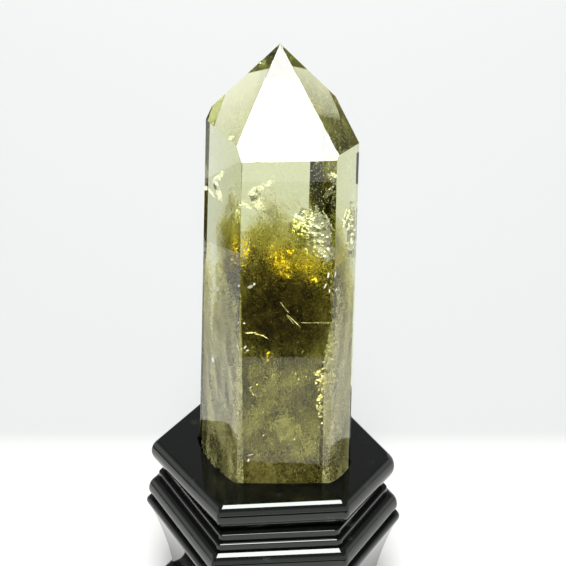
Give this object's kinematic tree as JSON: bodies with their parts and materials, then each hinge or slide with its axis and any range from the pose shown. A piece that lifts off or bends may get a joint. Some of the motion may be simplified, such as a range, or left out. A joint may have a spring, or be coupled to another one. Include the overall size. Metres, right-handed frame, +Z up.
{
  "type": "quartz crystal point on a stand",
  "caption": "Clear hexagonal quartz point with a smoky golden cloud inside, standing upright in a stepped stand of black lacquered wood.",
  "frame": {"origin": "middle of the object's footprint, on the surface that the stand rests on", "axes": "+Z up along the crystal, -Y towards the front, +X to the right as seen from the front"},
  "size_m": [0.0912, 0.0846, 0.2134],
  "materials": {
    "crystal": "clear polished quartz with a smoky golden cloud",
    "lacquered_wood": "black high-gloss lacquer"
  },
  "bodies": {
    "root": {"crystal_point": "crystal", "stand_seat_board": "lacquered_wood", "stand_waist": "lacquered_wood", "stand_shoulder": "lacquered_wood", "stand_apron": "lacquered_wood", "stand_plinth": "lacquered_wood"}
  },
  "joints": []
}
